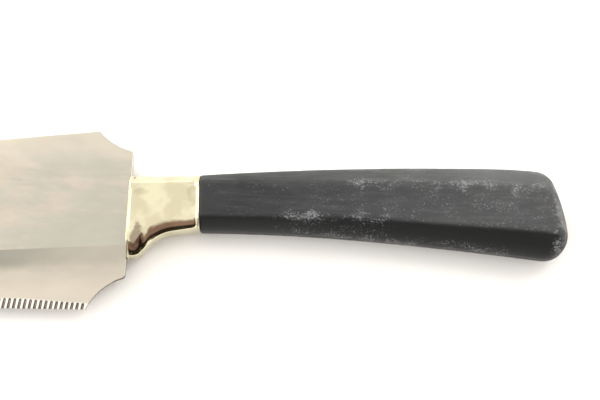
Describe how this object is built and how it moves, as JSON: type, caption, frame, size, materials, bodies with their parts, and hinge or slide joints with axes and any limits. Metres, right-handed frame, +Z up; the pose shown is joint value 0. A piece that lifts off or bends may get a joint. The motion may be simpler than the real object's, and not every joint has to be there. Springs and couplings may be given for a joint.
{
  "type": "bread knife",
  "caption": "Bread knife lying on its side: wide flat-ground blade with fine flutes and notched heel corners, polished bolster with a finger drop, and a faceted black grip.",
  "frame": {"origin": "middle of the knife's box, on the surface that it lies on", "axes": "+X towards the butt of the handle, +Y towards the spine of the blade, +Z up out of the fluted face"},
  "size_m": [0.3322, 0.0502, 0.0178],
  "materials": {
    "blade_steel": "satin, with faint smudges and fine grinding lines",
    "bolster_metal": "polished pale gold",
    "filler": "cast, unfinished, inside the bolster",
    "grip": "matte black, scuffed grey along its edges and butt",
    "cement": "cured resin, inside the grip"
  },
  "bodies": {
    "root": {"blade": "blade_steel", "bolster": "bolster_metal", "bolster_filler": "filler", "handle": "grip", "tang_cement": "cement"}
  },
  "joints": []
}
